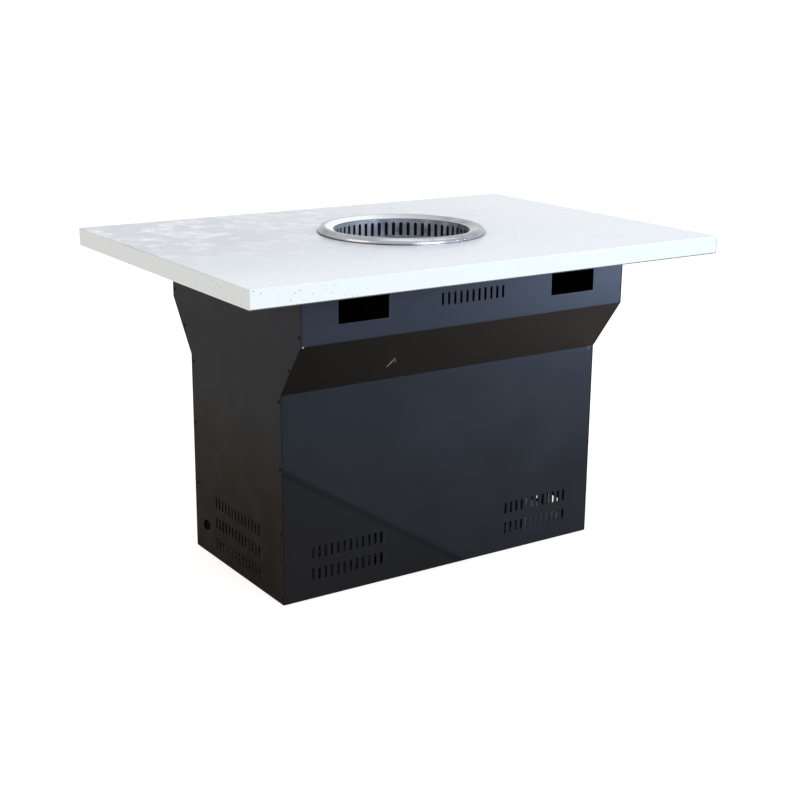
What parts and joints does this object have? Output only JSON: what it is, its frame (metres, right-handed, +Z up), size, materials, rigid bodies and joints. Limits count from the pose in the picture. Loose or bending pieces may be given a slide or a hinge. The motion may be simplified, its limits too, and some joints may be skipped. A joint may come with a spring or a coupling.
{
  "type": "barbecue table",
  "caption": "Smokeless barbecue table: white stone top, steel ring round a brazier well with slotted collar, black sheet steel pedestal with vents, filters and fan",
  "frame": {"origin": "centre of the table's outline on the floor", "axes": "+X along the top towards the fan end, -Y towards the front with the control cut-outs, +Z up"},
  "size_m": [1.2, 0.84, 0.764],
  "materials": {
    "white_stone": "polished white stone with faint cloudy veins",
    "board_wood": "sanded plywood",
    "polished_steel": "polished stainless steel",
    "inner_steel": "plain stainless sheet",
    "cast_iron": "seasoned black cast iron",
    "grid_steel": "stainless wire",
    "powder_coat": "satin black powder coat",
    "black_screws": "black oxide",
    "galvanised": "galvanised sheet",
    "foot_rubber": "moulded rubber",
    "zinc_fasteners": "zinc plated",
    "frame_paint": "black primer",
    "filter_aluminium": "mill finish",
    "carbon_cassette": "honeycomb filled with carbon",
    "shaft_steel": "ground steel",
    "cast_aluminium": "die cast",
    "core_steel": "laminated steel",
    "grey_plastic": "moulded plastic",
    "grommet_rubber": "moulded rubber"
  },
  "bodies": {
    "root": {"apron_front": "white_stone", "apron_left": "white_stone", "apron_rear": "white_stone", "apron_right": "white_stone", "base_plate": "galvanised", "bearings": "shaft_steel", "board_screws": "zinc_fasteners", "cable_grommet": "grommet_rubber", "carbon_filter": "carbon_cassette", "cover_screws": "zinc_fasteners", "cross_rail_left": "frame_paint", "cross_rail_right": "frame_paint", "drum_base": "inner_steel", "drum_spigot": "inner_steel", "duct_clamps": "inner_steel", "fan_housing": "galvanised", "fan_stand": "frame_paint", "filter_box": "galvanised", "filter_cover": "galvanised", "filter_shelves": "galvanised", "filter_spigot": "galvanised", "filter_top": "galvanised", "foot_bolts": "zinc_fasteners", "foot_front_left": "foot_rubber", "foot_front_right": "foot_rubber", "foot_nuts": "zinc_fasteners", "foot_rear_left": "foot_rubber", "foot_rear_right": "foot_rubber", "front_panel": "powder_coat", "grease_filter": "filter_aluminium", "left_panel": "powder_coat", "left_panel_screws": "black_screws", "motor_bolts": "zinc_fasteners", "motor_front_cap": "cast_aluminium", "motor_rear_cap": "cast_aluminium", "motor_shell": "cast_aluminium", "rear_panel": "powder_coat", "right_panel": "powder_coat", "right_panel_screws": "black_screws", "slotted_collar": "inner_steel", "smoke_drum": "inner_steel", "smoke_duct": "galvanised", "stator_core": "core_steel", "stone_slab": "white_stone", "terminal_box": "grey_plastic", "terminal_lid": "grey_plastic", "top_rail_front": "frame_paint", "top_rail_left": "frame_paint", "top_rail_rear": "frame_paint", "top_rail_right": "frame_paint", "trim_ring": "polished_steel", "underlay_board": "board_wood"},
    "ash_tray": {"ash_tray": "inner_steel"},
    "fire_pot": {"fire_pot": "cast_iron"},
    "charcoal_grate": {"charcoal_grate": "cast_iron"},
    "grill_grid": {"grill_grid": "grid_steel"},
    "rotor": {"impeller": "galvanised", "fan_shaft": "shaft_steel", "rotor_core": "core_steel", "hub_nut": "zinc_fasteners"}
  },
  "joints": [
    {"name": "ash_tray_lift", "type": "slide", "parent": "root", "child": "ash_tray", "axis": [0, 0, 1], "range_m": [0, 0.22]},
    {"name": "fire_pot_lift", "type": "slide", "parent": "ash_tray", "child": "fire_pot", "axis": [0, 0, 1], "range_m": [0, 0.18]},
    {"name": "charcoal_grate_lift", "type": "slide", "parent": "fire_pot", "child": "charcoal_grate", "axis": [0, 0, 1], "range_m": [0, 0.16]},
    {"name": "grill_grid_lift", "type": "slide", "parent": "charcoal_grate", "child": "grill_grid", "axis": [0, 0, 1], "range_m": [0, 0.08]},
    {"name": "fan_spin", "type": "hinge", "parent": "root", "child": "rotor", "pos_m": [0.2, 0, 0.162], "axis": [1, 0, 0], "continuous": true}
  ]
}
